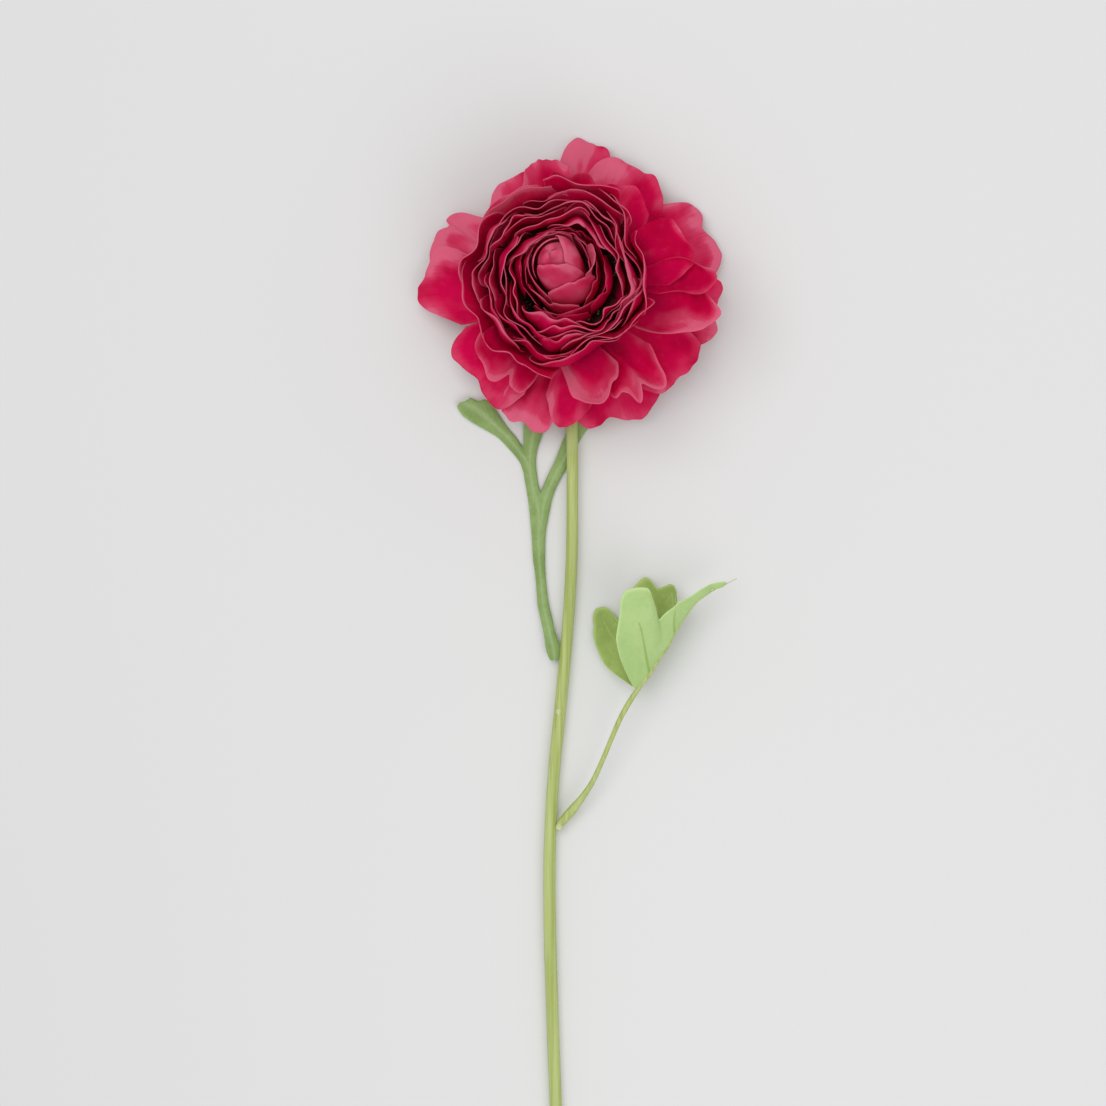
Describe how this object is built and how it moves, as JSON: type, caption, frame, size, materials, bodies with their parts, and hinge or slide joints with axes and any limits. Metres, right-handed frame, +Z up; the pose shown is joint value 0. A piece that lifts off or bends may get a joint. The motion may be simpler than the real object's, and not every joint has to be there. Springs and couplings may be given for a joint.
{
  "type": "persian buttercup flower",
  "caption": "Cut persian buttercup stem lying on a surface: one fully double crimson flower of many thin ruffled petals, a slender green stem and two lobed leaves.",
  "frame": {"origin": "middle of the underside of the box round the whole flower, on the surface that it lies on", "axes": "+Z up from the surface, the way the open flower looks; +Y along the stem, from the cut end to the flower; +X to the right of the flower as it is seen from above with its head away from the viewer"},
  "size_m": [0.1144, 0.4322, 0.0583],
  "materials": {
    "heart_petals": "dusty rose pink, satin, with pale worn edges",
    "ring_petals": "dark crimson, satin, with thin pink rims",
    "outer_petals": "crimson fading to rose pink at the rim, thin enough to let light through",
    "stem": "pale yellow-green, smooth, faintly ribbed",
    "calyx": "matt yellow-green",
    "upper_leaf": "mid green, soft, with fine long veins",
    "lower_leaf": "pale green upper fold over a darker lower fold, fine veins"
  },
  "bodies": {
    "root": {"bud": "heart_petals", "heart_petal_a1": "heart_petals", "heart_petal_a2": "heart_petals", "heart_petal_a3": "heart_petals", "heart_petal_b1": "heart_petals", "heart_petal_b2": "heart_petals", "heart_petal_b3": "heart_petals", "heart_petal_c1": "heart_petals", "heart_petal_c2": "heart_petals", "heart_petal_c3": "heart_petals", "lower_leaf": "lower_leaf", "outer_petal_01": "outer_petals", "outer_petal_02": "outer_petals", "outer_petal_03": "outer_petals", "outer_petal_04": "outer_petals", "outer_petal_05": "outer_petals", "outer_petal_06": "outer_petals", "outer_petal_07": "outer_petals", "outer_petal_08": "outer_petals", "outer_petal_09": "outer_petals", "outer_petal_10": "outer_petals", "outer_petal_11": "outer_petals", "outer_petal_12": "outer_petals", "outer_petal_13": "outer_petals", "receptacle": "calyx", "ring_petal_a1": "ring_petals", "ring_petal_a2": "ring_petals", "ring_petal_a3": "ring_petals", "ring_petal_a4": "ring_petals", "ring_petal_a5": "ring_petals", "ring_petal_b1": "ring_petals", "ring_petal_b2": "ring_petals", "ring_petal_b3": "ring_petals", "ring_petal_b4": "ring_petals", "ring_petal_b5": "ring_petals", "ring_petal_c1": "ring_petals", "ring_petal_c2": "ring_petals", "ring_petal_c3": "ring_petals", "ring_petal_c4": "ring_petals", "ring_petal_c5": "ring_petals", "ring_petal_d1": "ring_petals", "ring_petal_d2": "ring_petals", "ring_petal_d3": "ring_petals", "ring_petal_d4": "ring_petals", "ring_petal_d5": "ring_petals", "sepal_1": "calyx", "sepal_2": "calyx", "sepal_3": "calyx", "sepal_4": "calyx", "sepal_5": "calyx", "skirt_petal_1": "outer_petals", "skirt_petal_2": "outer_petals", "skirt_petal_3": "outer_petals", "skirt_petal_4": "outer_petals", "skirt_petal_5": "outer_petals", "skirt_petal_6": "outer_petals", "skirt_petal_7": "outer_petals", "skirt_petal_8": "outer_petals", "stem": "stem", "upper_leaf": "upper_leaf"}
  },
  "joints": []
}
